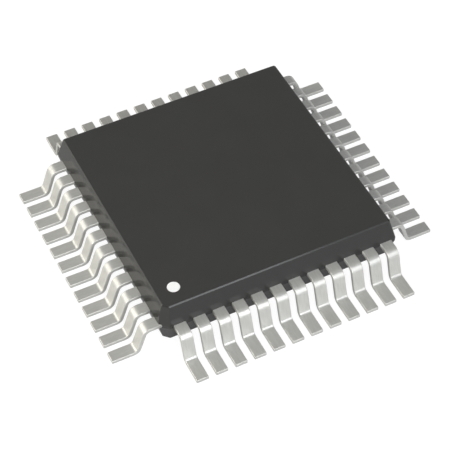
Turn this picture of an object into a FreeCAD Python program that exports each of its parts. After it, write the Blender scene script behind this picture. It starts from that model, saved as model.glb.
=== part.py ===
import FreeCAD, Part
import math
import os

# Quad flat pack chip, in millimetres and degrees.
# The origin is the centre of the seating plane, on which the feet of the leads stand.
# +Z is up, and pin 1 is the first lead of the row on -Y, beside the corner at -X, -Y.

# Lead rows
leads_per_side = 12
pitch = 0.80                  # from one lead to the next
row_shift = 0.13              # each row sits this far anticlockwise of its side's middle
lead_width = 0.49
lead_thickness = 0.15

# Moulded body
corner_margin = 0.60          # from the last lead's unshifted centre to the side of the body
standoff = 0.20               # from the seating plane to the underside
lower_height = 0.855          # lower half, below the lead frame
upper_height = 0.895          # upper half, above the lead frame
draft_angle = 13.6            # slope of the side faces of both halves
corner_radius = 0.10
pin1_chamfer = 0.335          # corner cut beside pin 1, at the body's widest line
rim_bevel = 0.02              # broken edge round the top face

# Gull-wing form of each lead outside the body
shoulder_length = 0.60        # from the body to the upper bend's corner
leg_slope = 18.5              # of the leg, from upright
foot_length = 1.00            # from the lower bend's corner to the tip
upper_bend = 0.37             # radius on the leg's outer face
lower_bend = 0.165            # radius on the same face, at the foot

# Inner leads
grip_length = 0.15            # full-width stretch just inside the body
tip_width = 0.17
tip_pitch = 0.44              # from one inner tip to the next
tip_gap = 0.45                # from the inner tips to the die pad

# Die pad with its tie bars
pad_side = 5.0
pad_downset = 0.20            # below the inner leads
tie_width = 0.16
tie_setback = 0.75            # from the body's side to the end of a tie bar
tie_jog = 0.30                # length of the sloping stretch of a tie bar
tie_run = 0.20                # level stretch between the pad's corner and the slope

# Die and bond wires
attach_thickness = 0.03
attach_margin = 0.05          # adhesive squeezed out round the die
die_side = 3.6
die_thickness = 0.30
wire_size = 0.03
wire_rise = 0.16              # height of the loop over the die
wire_inset = 0.10             # from the die's edge to the bond
bond_pitch = 0.28             # from one bond to the next on the die
stitch_length = 0.10          # end of the wire that lies on the inner lead
stitch_inset = 0.05           # from the inner lead's tip to the end of the wire

# Pin 1 mark and the marks of the ejector pins on the underside
mark_diameter = 0.50
mark_inset_x = 0.76           # from the rim of the top face to the middle of the mark
mark_inset_y = 0.795
mark_recess = 0.03
mark_thickness = 0.02
ejector_diameter = 1.2
ejector_inset = 1.5           # from the rim of the underside to the middle of the mark
ejector_depth = 0.04

# Sizes that follow
row_length = (leads_per_side - 1) * pitch
body_half = row_length / 2 + corner_margin
frame_bottom = standoff + lower_height
frame_top = frame_bottom + lead_thickness
body_top = frame_top + upper_height
lean = math.tan(math.radians(draft_angle))
top_half = body_half - upper_height * lean
bottom_half = body_half - lower_height * lean
pad_top = frame_top - pad_downset
die_bottom = pad_top + attach_thickness
die_top = die_bottom + die_thickness
inner_tip = pad_side / 2 + tip_gap
bond_line = die_side / 2 - wire_inset


def flat_face(edges):
    """A plane face inside a closed chain of edges."""
    return Part.Face(Part.Wire(edges))


def polygon(points):
    """A plane face with straight sides through the points."""
    return Part.Face(Part.makePolygon(points + points[:1]))


def turned(shape, side):
    """A shape of the -Y side, turned to side 0, 1, 2 or 3, anticlockwise."""
    copy = shape.copy()
    copy.rotate(FreeCAD.Vector(0, 0, 0), FreeCAD.Vector(0, 0, 1), 90 * side)
    return copy


def square_plate(side, bottom, thickness):
    """A square plate about the Z axis."""
    corner = FreeCAD.Vector(-side / 2, -side / 2, bottom)
    return Part.makeBox(side, side, thickness, corner)


# Bent strips, drawn upright: x is outward and y is up, and the strip lies below its upper face
def offset_corners(corners, distance):
    """The corners of a chain of straight runs, moved to its right by a distance."""
    runs = [(b - a).normalize() for a, b in zip(corners, corners[1:])]
    sides = [FreeCAD.Vector(run.y, -run.x, 0) for run in runs]
    moves = [sides[0]]
    for one, two in zip(sides, sides[1:]):
        moves.append((one + two) * (1 / (1 + one.dot(two))))
    moves.append(sides[-1])
    return [corner + move * distance for corner, move in zip(corners, moves)]


def rounded_chain(corners, radii):
    """Edges along the corners, with each inner corner rounded to its radius."""
    edges = []
    start = corners[0]
    for before, corner, after, radius in zip(corners, corners[1:], corners[2:], radii):
        back = (before - corner).normalize()
        on = (after - corner).normalize()
        half_angle = back.getAngle(on) / 2
        reach = radius / math.tan(half_angle)
        centre = corner + (back + on).normalize() * (radius / math.sin(half_angle))
        middle = centre + (corner - centre).normalize() * radius
        arc_start = corner + back * reach
        arc_end = corner + on * reach
        edges.append(Part.makeLine(start, arc_start))
        edges.append(Part.Arc(arc_start, middle, arc_end).toShape())
        start = arc_end
    edges.append(Part.makeLine(start, corners[-1]))
    return edges


def stand_up(face, width, at):
    """Extrude an upright drawing to a width about x = at, facing -Y, with its x outward."""
    strip = face.extrude(FreeCAD.Vector(0, 0, width))
    strip.rotate(FreeCAD.Vector(0, 0, 0), FreeCAD.Vector(1, 0, 0), 90)
    strip.rotate(FreeCAD.Vector(0, 0, 0), FreeCAD.Vector(0, 0, 1), -90)
    strip.translate(FreeCAD.Vector(at + width / 2, 0, 0))
    return strip


# Moulded body
def body_outline(inset, height):
    """Edges round the body at a height, drawn in from its widest line, with the pin 1 corner cut."""
    half = body_half - inset
    straight = half - corner_radius
    round_middle = half - corner_radius * (1 - math.sqrt(0.5))
    cut = half - pin1_chamfer + inset * (2 - math.sqrt(2))

    def line(x1, y1, x2, y2):
        return Part.makeLine(FreeCAD.Vector(x1, y1, height), FreeCAD.Vector(x2, y2, height))

    def rounding(x, y):
        """The arc of one corner, x and y being the signs of its place."""
        one = FreeCAD.Vector(x * half, y * straight, height)
        middle = FreeCAD.Vector(x * round_middle, y * round_middle, height)
        two = FreeCAD.Vector(x * straight, y * half, height)
        return Part.Arc(one, middle, two).toShape()

    return [
        line(-half, -cut, -cut, -half),
        line(-cut, -half, straight, -half),
        rounding(1, -1),
        line(half, -straight, half, straight),
        rounding(1, 1),
        line(straight, half, -straight, half),
        rounding(-1, 1),
        line(-half, straight, -half, -cut),
    ]


def side_face(lower, upper):
    """The face between matching edges of two outlines: plane, or a rounded corner that leans."""
    start = lower.firstVertex().Point
    climb = upper.firstVertex().Point - start
    if isinstance(lower.Curve, Part.Circle):
        return lower.extrude(climb)
    end = lower.lastVertex().Point
    return polygon([start, end, upper.lastVertex().Point, start + climb])


def body_block():
    """Both drafted halves and the upright band between them, where the leads leave."""
    outlines = [
        body_outline(body_half - bottom_half, standoff),
        body_outline(0, frame_bottom),
        body_outline(0, frame_top),
        body_outline((upper_height - rim_bevel) * lean, body_top - rim_bevel),
        body_outline(body_half - top_half + rim_bevel, body_top),
    ]
    faces = [flat_face(outlines[0]), flat_face(outlines[-1])]
    for low, high in zip(outlines, outlines[1:]):
        faces += [side_face(lower, upper) for lower, upper in zip(low, high)]
    shell = Part.makeShell(faces)
    shell.sewShape()
    return Part.makeSolid(shell)


def ejector_marks():
    """Shallow round marks on the underside, one near each corner."""
    place = bottom_half - ejector_inset
    mark = Part.makeCylinder(ejector_diameter / 2, ejector_depth, FreeCAD.Vector(place, place, standoff))
    return [turned(mark, side) for side in range(4)]


def mark_disc(bottom, thickness):
    """A disc where the pin 1 mark is."""
    place = FreeCAD.Vector(mark_inset_x - top_half, mark_inset_y - top_half, bottom)
    return Part.makeCylinder(mark_diameter / 2, thickness, place)


# Leads
def row_place(number, spacing):
    """How far along its side a lead lies, for a spacing that shrinks the shift with it."""
    return (number - (leads_per_side - 1) / 2) * spacing + row_shift * spacing / pitch


def outer_lead(at):
    """The gull wing, from its grip inside the body to the tip of its foot."""
    knee = body_half + shoulder_length
    heel = knee + (frame_top - lead_thickness) * math.tan(math.radians(leg_slope))
    upper = [
        FreeCAD.Vector(body_half - grip_length, frame_top, 0),
        FreeCAD.Vector(knee, frame_top, 0),
        FreeCAD.Vector(heel, lead_thickness, 0),
        FreeCAD.Vector(heel + foot_length, lead_thickness, 0),
    ]
    lower = offset_corners(upper, lead_thickness)
    edges = rounded_chain(upper, [upper_bend, lower_bend])
    edges += [Part.makeLine(upper[-1], lower[-1])]
    edges += rounded_chain(lower, [upper_bend - lead_thickness, lower_bend + lead_thickness])
    edges += [Part.makeLine(lower[0], upper[0])]
    return stand_up(flat_face(Part.sortEdges(edges)[0]), lead_width, at)


def inner_lead(at, tip_at):
    """The flat lead inside the body, which narrows and slants towards the die pad."""
    grip = body_half - grip_length
    slant = math.hypot(at - tip_at, grip - inner_tip) / (grip - inner_tip)
    half_tip = tip_width / 2 * slant
    plan = [
        (at - lead_width / 2, grip),
        (tip_at - half_tip, inner_tip),
        (tip_at + half_tip, inner_tip),
        (at + lead_width / 2, grip),
    ]
    plate = polygon([FreeCAD.Vector(x, -out, frame_bottom) for x, out in plan])
    return plate.extrude(FreeCAD.Vector(0, 0, lead_thickness))


def lead(number):
    """One whole lead of the row on -Y."""
    at = row_place(number, pitch)
    whole = outer_lead(at).fuse(inner_lead(at, row_place(number, tip_pitch)))
    return whole.removeSplitter().Solids[0]


# Die pad, die and bond wires
def tie_bar():
    """The tie bar towards the corner at +X, -Y: level, up a slope, and level with the leads."""
    end_x = body_half - tie_setback
    end_y = end_x - row_shift
    pad_corner = pad_side / math.sqrt(2)
    slope_start = pad_corner + tie_run
    upper = [
        FreeCAD.Vector(0, pad_top, 0),
        FreeCAD.Vector(slope_start, pad_top, 0),
        FreeCAD.Vector(slope_start + tie_jog, frame_top, 0),
        FreeCAD.Vector(math.hypot(end_x, end_y), frame_top, 0),
    ]
    lower = offset_corners(upper, lead_thickness)
    bar = stand_up(polygon(upper + lower[::-1]), tie_width, 0)
    bar.rotate(FreeCAD.Vector(0, 0, 0), FreeCAD.Vector(0, 0, 1), math.degrees(math.atan2(end_x, end_y)))
    return bar


def die_pad():
    """The paddle and its four tie bars, in one piece."""
    plate = square_plate(pad_side, pad_top - lead_thickness, lead_thickness)
    bar = tie_bar()
    return plate.fuse([turned(bar, side) for side in range(4)]).removeSplitter().Solids[0]


def bond_wire(number):
    """The wire from the die to one inner lead of the row on -Y."""
    start = FreeCAD.Vector(row_place(number, bond_pitch), -bond_line, 0)
    end = FreeCAD.Vector(row_place(number, tip_pitch), -inner_tip - stitch_inset - stitch_length, 0)
    span = (end - start).Length
    upper = [
        FreeCAD.Vector(0, die_top, 0),
        FreeCAD.Vector(0, die_top + wire_rise, 0),
        FreeCAD.Vector(span - stitch_length, frame_top + wire_size, 0),
        FreeCAD.Vector(span, frame_top + wire_size, 0),
    ]
    lower = offset_corners(upper, wire_size)
    wire = stand_up(polygon(upper + lower[::-1]), wire_size, 0)
    heading = math.degrees(math.atan2(end.x - start.x, start.y - end.y))
    wire.rotate(FreeCAD.Vector(0, 0, 0), FreeCAD.Vector(0, 0, 1), heading)
    wire.translate(start)
    return wire


def all_sides(make):
    """What a function makes for each lead of one row, repeated on the four sides."""
    row = [make(number) for number in range(leads_per_side)]
    return [turned(shape, side) for side in range(4) for shape in row]


def main():
    leads = all_sides(lead)
    wires = all_sides(bond_wire)
    pad = die_pad()
    attach = square_plate(die_side + 2 * attach_margin, pad_top, attach_thickness)
    die = square_plate(die_side, die_bottom, die_thickness)
    dimple = mark_disc(body_top - mark_recess, mark_recess)
    mark = mark_disc(body_top - mark_recess, mark_thickness)
    held = leads + wires + [pad, attach, die]
    body = body_block().cut(held + ejector_marks() + [dimple])

    pieces = {"body": body, "die_pad": pad, "die_attach": attach, "die": die, "pin1_mark": mark}
    pieces["bond_wires"] = Part.makeCompound(wires)
    for number, shape in enumerate(leads, start=1):
        pieces[f"lead_{number:02d}"] = shape

    os.makedirs("parts", exist_ok=True)
    for name, shape in pieces.items():
        shape.exportStep(f"parts/{name}.step")
        print(name, len(shape.Solids), shape.isValid(), round(shape.Volume, 4))


main()
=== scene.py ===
import math

import bpy
from mathutils import Matrix, Vector
from mathutils.geometry import tessellate_polygon


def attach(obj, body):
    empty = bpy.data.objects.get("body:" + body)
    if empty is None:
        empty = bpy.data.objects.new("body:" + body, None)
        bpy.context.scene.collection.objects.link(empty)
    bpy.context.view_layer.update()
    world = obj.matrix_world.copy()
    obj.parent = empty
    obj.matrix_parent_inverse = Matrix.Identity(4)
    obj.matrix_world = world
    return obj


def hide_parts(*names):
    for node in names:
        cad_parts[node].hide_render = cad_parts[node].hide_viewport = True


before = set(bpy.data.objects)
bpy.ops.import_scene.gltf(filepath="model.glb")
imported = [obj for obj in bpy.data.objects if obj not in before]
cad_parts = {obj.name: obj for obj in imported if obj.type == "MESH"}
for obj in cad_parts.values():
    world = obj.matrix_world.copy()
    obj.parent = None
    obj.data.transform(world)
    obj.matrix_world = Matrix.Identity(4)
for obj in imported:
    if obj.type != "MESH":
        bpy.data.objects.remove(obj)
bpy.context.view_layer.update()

# Sizes of the part are in millimetres and degrees, and its meshes are scaled to metres when they are made
MM = 0.001

# Lead rows, as in the CAD source
SIDES = 4
LEADS_PER_SIDE = 12
PITCH = 0.80
ROW_SHIFT = 0.13         # each row sits this far anticlockwise of its side's middle
LEAD_WIDTH = 0.49
LEAD_THICKNESS = 0.15

# Moulded body, as in the CAD source
BODY_HALF = 5.0          # from the middle to a side, at the body's widest line
STANDOFF = 0.20
FRAME_BOTTOM = 1.055
FRAME_TOP = 1.205
BODY_TOP = 2.10
DRAFT_ANGLE = 13.6
CORNER_RADIUS = 0.10
PIN1_CHAMFER = 0.335
LEAN = math.tan(math.radians(DRAFT_ANGLE))
TOP_HALF = BODY_HALF - (BODY_TOP - FRAME_TOP) * LEAN
BOTTOM_HALF = BODY_HALF - (FRAME_BOTTOM - STANDOFF) * LEAN

# Gull wing and inner lead, as in the CAD source
SHOULDER = 0.60
LEG_SLOPE = 18.5         # of the leg, from upright
FOOT = 1.00
UPPER_BEND = 0.37        # radius on the leg's outer face
LOWER_BEND = 0.165       # radius on the same face, at the foot
GRIP = 0.15              # full-width stretch just inside the body
TIP_WIDTH = 0.17
TIP_PITCH = 0.44
INNER_TIP = 2.95         # from the middle of the body

# Marks in the moulding, as in the CAD source
MARK_DIAMETER = 0.50
MARK_INSET_X = 0.76      # from the rim of the top face to the middle of the mark
MARK_INSET_Y = 0.795
MARK_CENTRE = (MARK_INSET_X - TOP_HALF, MARK_INSET_Y - TOP_HALF)
MARK_RECESS = 0.03
MARK_THICKNESS = 0.02
EJECTOR_DIAMETER = 1.2
EJECTOR_INSET = 1.5      # from the rim of the underside to the middle of a mark
EJECTOR_PLACE = BOTTOM_HALF - EJECTOR_INSET
EJECTOR_DEPTH = 0.04

# Finish of the edges
ROLLED_EDGE = 0.030      # the punch rolls the upper edges of a lead over
CUT_EDGE = 0.008         # and leaves the lower ones nearly sharp
TIP_NARROWING = 0.4      # of the foot's tip, as a share of how far its upper face drops
RIM_BEVEL = 0.042        # cut from the side and from the end face, all round
RIM_SOFTNESS = 0.006
FLAT_BORDER = 0.040      # strip round an end face and its recesses, which keeps the shading flat
BAND_EDGE = 0.008        # between the band of the lead frame and the drafted halves
CHAMFER_EDGE = 0.05
RECESS_EDGE = 0.008
RECESS_CURVE = 0.3       # where that edge's curve passes, as a share of it from the sharp corner
INK_EDGE = ((0.0, 0.008), (0.002, 0.003), (0.010, 0.0))    # (inset, below the ink's top)

# Steps in the curves
CIRCLE_STEPS = 48
CORNER_STEPS = 6
SOFT_CORNER_STEPS = 3
ROLLED_EDGE_STEPS = 5
CUT_EDGE_STEPS = 2
UPPER_BEND_STEPS = 12
LOWER_BEND_STEPS = 9
FOOT_TIP_STEPS = 4

# Camera, fitted to the photograph
CAMERA_PLACE = (-18.950, -38.245, 49.497)
CAMERA_HEADING = -26.471
CAMERA_DIP = 49.614
CAMERA_LENS = 130.40
CAMERA_SENSOR = 36.0
CAMERA_NEAR = 0.001      # metres
CAMERA_FAR = 10.0        # metres

# Between these lie most values of a noise
NOISE_LOW = 0.3
NOISE_HIGH = 0.7

# Z of the normal where the matt finish of the end faces starts, and where it is full
END_FACE_START = 0.85
END_FACE_FULL = 0.99

# Studio light: the levels are what a white surface would show
SKY_LEVEL = 0.08
HORIZON_LEVEL = 0.20
HORIZON_TOP = 0.45       # sine of the height at which the horizon's light ends
BOX_DISTANCE = 0.30      # metres
COOL_WHITE = (0.94, 0.965, 1.0)
WARM_WHITE = (1.0, 0.98, 0.92)
WARMER_WHITE = (1.0, 0.978, 0.915)

# Floor: how white it is under the lamps, in reflections and to the camera
FLOOR_HALF = 1.5         # metres
FLOOR_WHITE = 0.60
GLOW_IN_REFLECTION = 0.28
MATT_IN_REFLECTION = 0.34
GLOW_TO_CAMERA = 0.94
MATT_TO_CAMERA = 0.12


# Shader nodes
def start_material(name, colour, roughness, metallic=0.0):
    """A Principled material and what its nodes need: (material, nodes, links, shader)."""
    material = bpy.data.materials.new(name)
    material.use_nodes = True
    nodes = material.node_tree.nodes
    shader = nodes["Principled BSDF"]
    shader.inputs["Base Color"].default_value = (*colour, 1)
    shader.inputs["Roughness"].default_value = roughness
    shader.inputs["Metallic"].default_value = metallic
    return material, nodes, material.node_tree.links, shader


def noise(nodes, links, grain, detail, stretch=(1, 1, 1)):
    """A noise on object coordinates, its grain in millimetres and longer along the stretched axes."""
    place = nodes.new("ShaderNodeTexCoord")
    scaled = nodes.new("ShaderNodeMapping")
    scaled.inputs["Scale"].default_value = [1 / (grain * MM * s) for s in stretch]
    texture = nodes.new("ShaderNodeTexNoise")
    texture.inputs["Scale"].default_value = 1.0
    texture.inputs["Detail"].default_value = detail
    links.new(place.outputs["Object"], scaled.inputs["Vector"])
    links.new(scaled.outputs["Vector"], texture.inputs["Vector"])
    return texture.outputs["Fac"]


def spread(nodes, links, value, low, high):
    """A number between two others, by a noise value."""
    spreader = nodes.new("ShaderNodeMapRange")
    spreader.inputs["From Min"].default_value = NOISE_LOW
    spreader.inputs["From Max"].default_value = NOISE_HIGH
    spreader.inputs["To Min"].default_value = low
    spreader.inputs["To Max"].default_value = high
    links.new(value, spreader.inputs["Value"])
    return spreader.outputs["Result"]


def tint(nodes, links, value, dark, light):
    """A colour between two others, by a noise value."""
    mix = nodes.new("ShaderNodeMix")
    mix.data_type = "RGBA"
    mix.inputs["A"].default_value = (*dark, 1)
    mix.inputs["B"].default_value = (*light, 1)
    links.new(spread(nodes, links, value, 0, 1), mix.inputs["Factor"])
    return mix.outputs["Result"]


def blend(nodes, links, share, low, high, kind):
    """A colour or a number that goes from one input to another by a share."""
    mix = nodes.new("ShaderNodeMix")
    mix.data_type = kind
    links.new(share, mix.inputs["Factor"])
    links.new(low, mix.inputs["A"])
    links.new(high, mix.inputs["B"])
    return mix.outputs["Result"]


def smooth_step(nodes, links, value, start, end, low, high):
    """A number that goes smoothly from low to high while the value goes from start to end."""
    step = nodes.new("ShaderNodeMapRange")
    step.interpolation_type = "SMOOTHSTEP"
    for name, number in (("From Min", start), ("From Max", end), ("To Min", low), ("To Max", high)):
        step.inputs[name].default_value = number
    links.new(value, step.inputs["Value"])
    return step.outputs["Result"]


def end_faces(nodes, links):
    """A share that is 1 on the faces which look up or down and 0 on the sides."""
    place = nodes.new("ShaderNodeTexCoord")
    axes = nodes.new("ShaderNodeSeparateXYZ")
    links.new(place.outputs["Normal"], axes.inputs["Vector"])
    level = nodes.new("ShaderNodeMath")
    level.operation = "ABSOLUTE"
    links.new(axes.outputs["Z"], level.inputs[0])
    return smooth_step(nodes, links, level.outputs[0], END_FACE_START, END_FACE_FULL, 0.0, 1.0)


def bump(nodes, links, shader, height, depth):
    """Relief of a depth in millimetres on a shader."""
    relief = nodes.new("ShaderNodeBump")
    relief.inputs["Distance"].default_value = depth * MM
    links.new(height, relief.inputs["Height"])
    links.new(relief.outputs["Normal"], shader.inputs["Normal"])


# Materials
def mould_compound():
    """Black epoxy: smooth on the drafted sides, and matt on the end faces from a spark-eroded mould."""
    material, nodes, links, shader = start_material("mould_compound", (0.0402, 0.0399, 0.0379), 0.12)
    shader.inputs["IOR"].default_value = 1.42
    grain = noise(nodes, links, 0.05, detail=3)
    cloud = noise(nodes, links, 1.4, detail=5)
    eroded = end_faces(nodes, links)
    side = tint(nodes, links, cloud, (0.0328, 0.0326, 0.0311), (0.0354, 0.0352, 0.0336))
    end = tint(nodes, links, cloud, (0.0388, 0.0385, 0.0365), (0.0416, 0.0413, 0.0393))
    links.new(blend(nodes, links, eroded, side, end, "RGBA"), shader.inputs["Base Color"])
    smooth = spread(nodes, links, grain, 0.10, 0.14)
    rough = spread(nodes, links, grain, 0.54, 0.62)
    links.new(blend(nodes, links, eroded, smooth, rough, "FLOAT"), shader.inputs["Roughness"])
    bump(nodes, links, shader, grain, 0.0002)
    return material


def plated_lead():
    """Matt tin over copper alloy, with fine rolling streaks along the lead."""
    material, nodes, links, shader = start_material("plated_lead", (0.589, 0.584, 0.550), 0.32, 0.40)
    streaks = noise(nodes, links, 0.05, detail=3, stretch=(1, 7, 7))
    crystals = noise(nodes, links, 0.02, detail=2)
    colour = tint(nodes, links, streaks, (0.558, 0.553, 0.519), (0.620, 0.615, 0.581))
    links.new(colour, shader.inputs["Base Color"])
    links.new(spread(nodes, links, streaks, 0.30, 0.35), shader.inputs["Roughness"])
    bump(nodes, links, shader, crystals, 0.0001)
    return material


def white_ink():
    """Opaque white marking ink, laid a little unevenly."""
    material, nodes, links, shader = start_material("white_ink", (0.94, 0.94, 0.92), 0.5)
    film = noise(nodes, links, 0.06, detail=3)
    colour = tint(nodes, links, film, (0.92, 0.92, 0.90), (0.95, 0.95, 0.93))
    links.new(colour, shader.inputs["Base Color"])
    links.new(spread(nodes, links, film, 0.45, 0.55), shader.inputs["Roughness"])
    bump(nodes, links, shader, film, 0.001)
    return material


def lead_frame():
    """Rolled copper alloy of the die pad, its streaks along X."""
    material, nodes, links, shader = start_material("lead_frame", (0.80, 0.52, 0.38), 0.3, 1.0)
    rolled = noise(nodes, links, 0.04, detail=3, stretch=(12, 1, 1))
    colour = tint(nodes, links, rolled, (0.76, 0.49, 0.35), (0.84, 0.55, 0.41))
    links.new(colour, shader.inputs["Base Color"])
    links.new(spread(nodes, links, rolled, 0.26, 0.36), shader.inputs["Roughness"])
    bump(nodes, links, shader, rolled, 0.001)
    return material


def die_adhesive():
    """Silver-filled epoxy paste."""
    material, nodes, links, shader = start_material("die_adhesive", (0.45, 0.45, 0.44), 0.55, 0.6)
    flakes = noise(nodes, links, 0.03, detail=4)
    colour = tint(nodes, links, flakes, (0.38, 0.38, 0.37), (0.52, 0.52, 0.51))
    links.new(colour, shader.inputs["Base Color"])
    links.new(spread(nodes, links, flakes, 0.45, 0.65), shader.inputs["Roughness"])
    bump(nodes, links, shader, flakes, 0.003)
    return material


def silicon():
    """Diced silicon: smooth, blue-grey, with faint cells of circuitry 0.3 mm wide."""
    material, nodes, links, shader = start_material("silicon", (0.20, 0.22, 0.26), 0.18, 0.7)
    place = nodes.new("ShaderNodeTexCoord")
    voronoi = nodes.new("ShaderNodeTexVoronoi")
    voronoi.distance = "CHEBYCHEV"
    voronoi.inputs["Scale"].default_value = 1 / (0.3 * MM)
    links.new(place.outputs["Object"], voronoi.inputs["Vector"])
    cells = voronoi.outputs["Distance"]
    colour = tint(nodes, links, cells, (0.17, 0.19, 0.23), (0.24, 0.26, 0.30))
    links.new(colour, shader.inputs["Base Color"])
    links.new(spread(nodes, links, cells, 0.14, 0.22), shader.inputs["Roughness"])
    bump(nodes, links, shader, cells, 0.0005)
    return material


def gold_wire():
    """Drawn gold bond wire."""
    material, nodes, links, shader = start_material("gold_wire", (0.95, 0.70, 0.30), 0.2, 1.0)
    drawn = noise(nodes, links, 0.02, detail=2)
    colour = tint(nodes, links, drawn, (0.92, 0.67, 0.28), (0.97, 0.73, 0.33))
    links.new(colour, shader.inputs["Base Color"])
    links.new(spread(nodes, links, drawn, 0.16, 0.24), shader.inputs["Roughness"])
    bump(nodes, links, shader, drawn, 0.0005)
    return material


# Meshes
def even_shading(mesh):
    """Smooth shading that leaves wide faces flat, because faces count by their area at each corner."""
    mesh.shade_smooth()
    normals = [Vector() for _ in mesh.vertices]
    for face in mesh.polygons:
        for corner in face.vertices:
            normals[corner] += face.normal * face.area
    mesh.normals_split_custom_set_from_vertices([n.normalized() for n in normals])


def make_mesh(name, points, faces, material):
    """A smooth mesh from points in millimetres."""
    mesh = bpy.data.meshes.new(name)
    mesh.from_pydata([Vector(p) * MM for p in points], [], faces)
    mesh.materials.append(material)
    even_shading(mesh)
    return mesh


def place_piece(name, mesh, nodes, turn=0):
    """Show a mesh, turned about Z by quarter turns, in the place of CAD nodes."""
    piece = bpy.data.objects.new(name, mesh)
    bpy.context.scene.collection.objects.link(piece)
    piece.matrix_world = Matrix.Rotation(math.radians(90 * turn), 4, "Z")
    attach(piece, "root")
    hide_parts(*nodes)


def joined_rings(rings):
    """Points of closed rings of equal length, and the faces between one ring and the next."""
    points = [p for ring in rings for p in ring]
    count = len(rings[0])
    faces = []
    for low in range(0, len(points) - count, count):
        for i in range(count):
            on = (i + 1) % count
            faces.append((low + i, low + count + i, low + count + on, low + on))
    return points, faces


def arc(centre, radius, start, end, steps):
    """Points on an arc between two angles, both ends included."""
    angles = [math.radians(start + (end - start) * i / steps) for i in range(steps + 1)]
    return [(centre[0] + radius * math.cos(a), centre[1] + radius * math.sin(a)) for a in angles]


def soft_corner(start, corner, end):
    """Points of a small curve that rounds a corner."""
    points = []
    for i in range(SOFT_CORNER_STEPS + 1):
        t = i / SOFT_CORNER_STEPS
        weights = ((1 - t) ** 2, 2 * t * (1 - t), t ** 2)
        points.append([sum(w * p[k] for w, p in zip(weights, (start, corner, end))) for k in range(2)])
    return points


def circle(centre, diameter, height):
    """Points of a level circle, anticlockwise."""
    ring = arc(centre, diameter / 2, 0, 360, CIRCLE_STEPS)[:-1]
    return [(x, y, height) for x, y in ring]


# Leads
def row_place(number, spacing):
    """Where a lead lies along its side, at a spacing that scales the row's shift too."""
    return (number - (LEADS_PER_SIDE - 1) / 2) * spacing + ROW_SHIFT * spacing / PITCH


def lead_section(width, drop=0.0):
    """Points round a lead, as (across, below the upper face), with the upper corners rolled over.

    A drop lowers the upper face and draws the sides in, as the tip of the foot needs."""
    half = width / 2 - drop * TIP_NARROWING
    thick = LEAD_THICKNESS
    shape = arc((ROLLED_EDGE - half, -ROLLED_EDGE), ROLLED_EDGE, 180, 90, ROLLED_EDGE_STEPS)
    shape += arc((half - ROLLED_EDGE, -ROLLED_EDGE), ROLLED_EDGE, 90, 0, ROLLED_EDGE_STEPS)
    shape += arc((half - CUT_EDGE, CUT_EDGE - thick), CUT_EDGE, 0, -90, CUT_EDGE_STEPS)
    shape += arc((CUT_EDGE - half, CUT_EDGE - thick), CUT_EDGE, -90, -180, CUT_EDGE_STEPS)
    return [(across, drop - level * (thick - drop) / thick) for across, level in shape]


def bend(centre, radius, start, end, steps):
    """Stations (out, up, heading) round a bend, below its centre where the radius is negative."""
    stations = []
    for i in range(steps + 1):
        heading = start + (end - start) * i / steps
        lean = math.radians(heading)
        stations.append((centre[0] - radius * math.sin(lean), centre[1] + radius * math.cos(lean), heading))
    return stations


def lead_path():
    """Stations along the upper face of the gull wing from the grip to the foot, and the tip's place."""
    steep = LEG_SLOPE - 90
    reach = math.tan(math.radians(-steep / 2))
    knee = BODY_HALF + SHOULDER
    heel = knee + (FRAME_TOP - LEAD_THICKNESS) * math.tan(math.radians(LEG_SLOPE))
    upper_centre = (knee - UPPER_BEND * reach, FRAME_TOP - UPPER_BEND)
    lower_centre = (heel + LOWER_BEND * reach, LEAD_THICKNESS + LOWER_BEND)
    stations = [(BODY_HALF - GRIP, FRAME_TOP, 0)]
    stations += bend(upper_centre, UPPER_BEND, 0, steep, UPPER_BEND_STEPS)
    stations += bend(lower_centre, -LOWER_BEND, steep, 0, LOWER_BEND_STEPS)
    return stations, heel + FOOT


def ring_at(station, section, along):
    """A section of the lead set up at a station, as points of the row on -Y."""
    out, up, heading = station
    lean = math.radians(heading)
    normal = Vector((-math.sin(lean), math.cos(lean)))
    return [(along + across, -out + normal.x * depth, up - normal.y * depth) for across, depth in section]


def foot_tip(end, along):
    """Rings that round the upper edge of the foot's tip."""
    rings = []
    for step in range(FOOT_TIP_STEPS + 1):
        turn = math.radians(90 * step / FOOT_TIP_STEPS)
        drop = ROLLED_EDGE * (1 - math.cos(turn))
        back = ROLLED_EDGE * (1 - math.sin(turn))
        rings.append(ring_at((end - back, LEAD_THICKNESS, 0), lead_section(LEAD_WIDTH, drop), along))
    return rings


def lead_mesh(number, material):
    """One lead of the row on -Y, from its inner tip to its foot."""
    at = row_place(number, PITCH)
    tip_at = row_place(number, TIP_PITCH)
    run = BODY_HALF - GRIP - INNER_TIP
    slanted_tip = TIP_WIDTH * math.hypot(at - tip_at, run) / run
    stations, end = lead_path()
    rings = [ring_at((INNER_TIP, FRAME_TOP, 0), lead_section(slanted_tip), tip_at)]
    rings += [ring_at(station, lead_section(LEAD_WIDTH), at) for station in stations]
    rings += foot_tip(end, at)
    points, faces = joined_rings(rings)
    count = len(rings[0])
    faces.append(tuple(range(count)))
    faces.append(tuple(reversed(range(len(points) - count, len(points)))))
    return make_mesh(f"lead_form_{number + 1:02d}", points, faces, material)


def make_leads(material):
    """The four rows, anticlockwise from pin 1."""
    for number in range(LEADS_PER_SIDE):
        mesh = lead_mesh(number, material)
        for side in range(SIDES):
            pin = f"lead_{side * LEADS_PER_SIDE + number + 1:02d}"
            place_piece(f"formed_{pin}", mesh, [pin], side)


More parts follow.
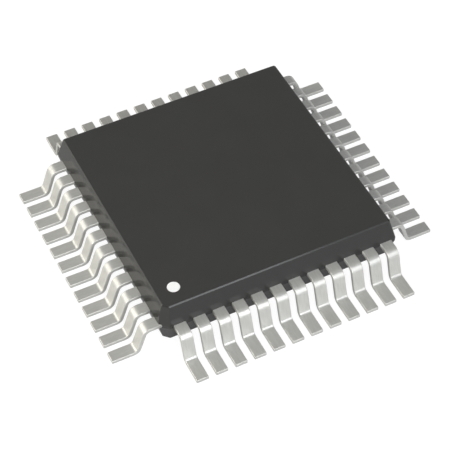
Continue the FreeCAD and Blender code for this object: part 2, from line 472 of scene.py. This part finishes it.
# Moulded body
class Shell:
    """Points and faces of a closed surface, added piece by piece."""

    def __init__(self):
        self.points = []
        self.faces = []

    def add_ring(self, ring):
        """Add a ring of points, and return their numbers."""
        start = len(self.points)
        self.points += ring
        return list(range(start, start + len(ring)))

    def join(self, low, high):
        """A wall between two rings, facing outwards where the second ring is the higher one."""
        for i in range(len(low)):
            on = (i + 1) % len(low)
            self.faces.append((low[i], low[on], high[on], high[i]))

    def cap(self, outline, holes, up):
        """A flat face inside an outline, with holes, facing up or down."""
        loops = [outline, *holes]
        order = [i for loop in loops for i in loop]
        flat = [[Vector(self.points[i]) for i in loop] for loop in loops]
        for triangle in tessellate_polygon(flat):
            a, b, c = (order[i] for i in triangle)
            p, q, r = (Vector(self.points[i]) for i in (a, b, c))
            facing_up = (q - p).cross(r - p).z > 0
            self.faces.append((a, b, c) if facing_up == up else (a, c, b))

    def sink(self, rings, up):
        """The wall and floor of a recess in a face. Returns the recess's rim, for the face's cap."""
        numbers = [self.add_ring(ring) for ring in rings]
        for outer, inner in zip(numbers, numbers[1:]):
            if up:
                self.join(outer, inner)
            else:
                self.join(inner, outer)
        floor = numbers[-1]
        self.faces.append(tuple(floor if up else reversed(floor)))
        return numbers[0]


def body_outline(inset, height):
    """Points round the body at a height, drawn in from its widest line, with the pin 1 corner cut.

    The cut is drawn in with the sides, so its face has the same draft."""
    half = BODY_HALF - inset
    straight = half - CORNER_RADIUS
    cut = half - PIN1_CHAMFER + inset * (2 - math.sqrt(2))
    reach = CHAMFER_EDGE * math.tan(math.radians(45 / 2))
    slant = reach * math.sqrt(0.5)
    corners = soft_corner((-half, -cut + reach), (-half, -cut), (-half + slant, -cut - slant))
    corners += soft_corner((-cut - slant, -half + slant), (-cut, -half), (-cut + reach, -half))
    corners += arc((straight, -straight), CORNER_RADIUS, -90, 0, CORNER_STEPS)
    corners += arc((straight, straight), CORNER_RADIUS, 0, 90, CORNER_STEPS)
    corners += arc((-straight, straight), CORNER_RADIUS, 90, 180, CORNER_STEPS)
    return [(x, y, height) for x, y in corners]


def rim_levels(face_inset, height, side):
    """Levels (inset, height) from a drafted side over the rim's bevel to an end face.

    The side is 1 for the top face and -1 for the underside."""
    corner = Vector((face_inset, height))
    down = Vector((-LEAN, -side)).normalized()
    inward = Vector((1, 0))
    low = corner + RIM_BEVEL * down
    high = corner + RIM_BEVEL * inward
    slope = (high - low).normalized()
    levels = soft_corner(low + RIM_SOFTNESS * down, low, low + RIM_SOFTNESS * slope)
    levels += soft_corner(high - RIM_SOFTNESS * slope, high, high + RIM_SOFTNESS * inward)
    levels.append(high + (RIM_SOFTNESS + FLAT_BORDER) * inward)
    return levels


def body_levels():
    """Levels (inset, height) of the outlines of the body, from the underside to the top face."""
    lower = rim_levels(BODY_HALF - BOTTOM_HALF, STANDOFF, -1)[::-1]
    band = [
        (BAND_EDGE * LEAN, FRAME_BOTTOM - BAND_EDGE),
        (0, FRAME_BOTTOM + BAND_EDGE),
        (0, FRAME_TOP - BAND_EDGE),
        (BAND_EDGE * LEAN, FRAME_TOP + BAND_EDGE),
    ]
    upper = rim_levels(BODY_HALF - TOP_HALF, BODY_TOP, 1)
    return lower + band + upper


def recess(centre, diameter, face, depth):
    """Rings of a shallow round recess, from its softened rim in a face to its floor.

    The depth counts downwards, so it is negative for a recess in the underside."""
    edge = RECESS_EDGE
    drop = math.copysign(edge, depth)
    sizes = [
        (diameter + 2 * edge + 2 * FLAT_BORDER, face),
        (diameter + 2 * edge, face),
        (diameter + 2 * edge * RECESS_CURVE, face - drop * RECESS_CURVE),
        (diameter, face - drop),
        (diameter, face - depth),
    ]
    return [circle(centre, size, height) for size, height in sizes]


def body_mesh(material):
    """The moulded body as one closed shell, with its recesses."""
    shell = Shell()
    outlines = [shell.add_ring(body_outline(*level)) for level in body_levels()]
    for low, high in zip(outlines, outlines[1:]):
        shell.join(low, high)
    dimple = shell.sink(recess(MARK_CENTRE, MARK_DIAMETER, BODY_TOP, MARK_RECESS), True)
    shell.cap(outlines[-1], [dimple], True)
    ejectors = []
    for x, y in ((1, 1), (-1, 1), (-1, -1), (1, -1)):
        place = (x * EJECTOR_PLACE, y * EJECTOR_PLACE)
        ejectors.append(shell.sink(recess(place, EJECTOR_DIAMETER, STANDOFF, -EJECTOR_DEPTH), False))
    shell.cap(outlines[0], ejectors, False)
    return make_mesh("moulded_body", shell.points, shell.faces, material)


def mark_mesh(material):
    """The ink of the pin 1 mark, a thin disc with a soft rim."""
    base = BODY_TOP - MARK_RECESS
    top = base + MARK_THICKNESS
    levels = [(0.0, base)] + [(inset, top - below) for inset, below in INK_EDGE]
    shell = Shell()
    rings = []
    for inset, height in levels:
        rings.append(shell.add_ring(circle(MARK_CENTRE, MARK_DIAMETER - 2 * inset, height)))
    for low, high in zip(rings, rings[1:]):
        shell.join(low, high)
    shell.cap(rings[0], [], False)
    shell.cap(rings[-1], [], True)
    return make_mesh("ink_dot", shell.points, shell.faces, material)


def finish_inner_nodes():
    """Materials for the CAD nodes sealed inside the body."""
    finishes = {
        "die_pad": lead_frame(),
        "die_attach": die_adhesive(),
        "die": silicon(),
        "bond_wires": gold_wire(),
    }
    for name, material in finishes.items():
        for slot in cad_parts[name].material_slots:
            slot.material = material


# Studio
def white_for(nodes, links, glow, matt):
    """A shader that glows, and is also matt so that it keeps shadows."""
    lit = nodes.new("ShaderNodeEmission")
    lit.inputs["Strength"].default_value = glow
    shaded = nodes.new("ShaderNodeBsdfDiffuse")
    shaded.inputs["Color"].default_value = (matt, matt, matt, 1)
    both = nodes.new("ShaderNodeAddShader")
    links.new(lit.outputs[0], both.inputs[0])
    links.new(shaded.outputs[0], both.inputs[1])
    return both.outputs[0]


def choose(nodes, links, share, otherwise, shader):
    """The shader where the share is 1, and the other one where it is 0."""
    mix = nodes.new("ShaderNodeMixShader")
    links.new(share, mix.inputs[0])
    links.new(otherwise, mix.inputs[1])
    links.new(shader, mix.inputs[2])
    return mix.outputs[0]


def floor_white():
    """Matt white that also glows to the camera and in reflections, and keeps a soft shadow."""
    material = bpy.data.materials.new("floor_white")
    material.use_nodes = True
    nodes, links = material.node_tree.nodes, material.node_tree.links
    nodes.clear()
    path = nodes.new("ShaderNodeLightPath")
    mirrored = nodes.new("ShaderNodeMath")
    mirrored.operation = "MAXIMUM"
    links.new(path.outputs["Is Glossy Ray"], mirrored.inputs[0])
    links.new(path.outputs["Is Transmission Ray"], mirrored.inputs[1])
    shader = white_for(nodes, links, 0.0, FLOOR_WHITE)
    reflected = white_for(nodes, links, GLOW_IN_REFLECTION, MATT_IN_REFLECTION)
    shader = choose(nodes, links, mirrored.outputs[0], shader, reflected)
    seen = white_for(nodes, links, GLOW_TO_CAMERA, MATT_TO_CAMERA)
    shader = choose(nodes, links, path.outputs["Is Camera Ray"], shader, seen)
    out = nodes.new("ShaderNodeOutputMaterial")
    links.new(shader, out.inputs["Surface"])
    return material


def make_floor():
    """A large level square under the feet."""
    half = FLOOR_HALF
    mesh = bpy.data.meshes.new("floor")
    corners = [(-half, -half, 0), (half, -half, 0), (half, half, 0), (-half, half, 0)]
    mesh.from_pydata(corners, [], [(0, 1, 2, 3)])
    mesh.materials.append(floor_white())
    floor = bpy.data.objects.new("floor", mesh)
    bpy.context.scene.collection.objects.link(floor)


def make_world():
    """A soft studio that is lighter near the horizon than overhead."""
    world = bpy.data.worlds.new("studio")
    bpy.context.scene.world = world
    world.use_nodes = True
    nodes, links = world.node_tree.nodes, world.node_tree.links
    place = nodes.new("ShaderNodeTexCoord")
    axes = nodes.new("ShaderNodeSeparateXYZ")
    links.new(place.outputs["Generated"], axes.inputs["Vector"])
    level = smooth_step(nodes, links, axes.outputs["Z"], HORIZON_TOP, 0.0, SKY_LEVEL, HORIZON_LEVEL)
    nodes["Background"].inputs["Color"].default_value = (1, 1, 1, 1)
    links.new(level, nodes["Background"].inputs["Strength"])


def soft_box(name, heading, height, sides, level, colour):
    """A soft light that faces the origin from a heading and height in degrees, its sides in metres.

    The level is how brightly a white surface that faces it is lit."""
    place = Vector((0, -BOX_DISTANCE, 0))
    place.rotate(Matrix.Rotation(math.radians(-height), 3, "X"))
    place.rotate(Matrix.Rotation(math.radians(heading), 3, "Z"))
    light = bpy.data.lights.new(name, "AREA")
    light.shape = "RECTANGLE"
    light.size, light.size_y = sides
    light.energy = level * (math.pi * BOX_DISTANCE) ** 2
    light.color = colour
    lamp = bpy.data.objects.new(name, light)
    lamp.location = place
    lamp.rotation_mode = "QUATERNION"
    lamp.rotation_quaternion = (-place).to_track_quat("-Z", "Y")
    bpy.context.scene.collection.objects.link(lamp)


def make_camera():
    """The camera at the photograph's viewing angle."""
    data = bpy.data.cameras.new("camera")
    data.lens = CAMERA_LENS
    data.sensor_width = CAMERA_SENSOR
    data.clip_start = CAMERA_NEAR
    data.clip_end = CAMERA_FAR
    camera = bpy.data.objects.new("camera", data)
    camera.location = Vector(CAMERA_PLACE) * MM
    camera.rotation_euler = (math.radians(90 - CAMERA_DIP), 0, math.radians(CAMERA_HEADING))
    bpy.context.scene.collection.objects.link(camera)
    bpy.context.scene.camera = camera


# The scene
make_camera()
make_floor()
make_world()
soft_box("front_soft_box", heading=-2, height=39, sides=(0.22, 0.30), level=0.99, colour=COOL_WHITE)
soft_box("right_soft_box", heading=48, height=27, sides=(0.24, 0.26), level=0.24, colour=COOL_WHITE)
soft_box("left_soft_box", heading=-98, height=27, sides=(0.22, 0.22), level=0.57, colour=WARMER_WHITE)
soft_box("rear_soft_box", heading=-122, height=26, sides=(0.32, 0.24), level=0.51, colour=WARM_WHITE)
bpy.context.scene.view_settings.view_transform = "Standard"

make_leads(plated_lead())
place_piece("moulded_body", body_mesh(mould_compound()), ["body"])
place_piece("ink_dot", mark_mesh(white_ink()), ["pin1_mark"])
finish_inner_nodes()
